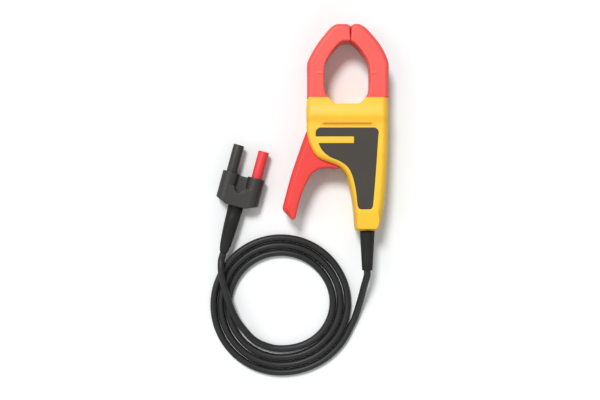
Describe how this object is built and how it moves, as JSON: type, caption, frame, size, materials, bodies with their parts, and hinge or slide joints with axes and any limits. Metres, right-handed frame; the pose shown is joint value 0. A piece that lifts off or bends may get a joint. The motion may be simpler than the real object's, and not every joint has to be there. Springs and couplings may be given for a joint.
{
  "type": "clamp meter",
  "caption": "Trigger-operated current clamp with hinged split-core jaws, two-part yellow housing, coiled cord and twin shrouded banana plug.",
  "frame": {"origin": "on the rear face, under the hinge axis of the jaws", "axes": "+Y from the hinge to the jaw tips, +Z out of the front face, +X away from the trigger"},
  "size_m": [0.1318, 0.2589, 0.0284],
  "materials": {
    "yellow_shell": "fine satin",
    "grey_panel": "matt",
    "red_jaw": "satin",
    "steel": "plated",
    "core_steel": "stacked sheet",
    "bobbin_white": "natural",
    "copper": "enamelled copper wire",
    "lead_red": "insulated wire",
    "brass": "turned",
    "board_green": "solder resist",
    "black_plastic": "satin",
    "black_rubber": "smooth",
    "red_plug": "satin"
  },
  "bodies": {
    "base": {"front_housing": "yellow_shell", "rear_housing": "yellow_shell", "label_panel": "grey_panel", "housing_screws": "steel", "fixed_jaw_front": "red_jaw", "fixed_jaw_rear": "red_jaw", "fixed_core": "core_steel", "coil_bobbin": "bobbin_white", "coil_winding": "copper", "winding_leads": "lead_red", "pivot_pin": "steel", "return_spring": "steel", "circuit_board": "board_green", "board_components": "black_plastic", "board_screws": "steel", "cable_clamp": "black_plastic", "clamp_screws": "steel", "cable_cores": "lead_red", "cord_entry": "black_rubber", "strain_relief": "black_rubber", "cord_lead_in": "black_rubber", "cord_coil": "black_rubber", "cord_lead_out": "black_rubber", "plug_body": "black_plastic", "plug_boot": "black_rubber", "plug_shroud_black": "black_plastic", "plug_shroud_red": "red_plug", "plug_contact_black": "steel", "plug_contact_red": "steel"},
    "lever": {"moving_jaw_front": "red_jaw", "moving_jaw_rear": "red_jaw", "moving_core": "core_steel", "trigger": "red_jaw", "lever_screws": "steel", "pivot_bush": "brass"}
  },
  "joints": [
    {"name": "jaw_hinge", "type": "hinge", "parent": "base", "child": "lever", "pos_m": [0, 0, 0.014], "axis": [0, 0, 1], "range_deg": [0, 29], "stiffness_Nm_per_rad": 0.7, "springref_deg": -28.65, "deforming": ["return_spring"]}
  ]
}
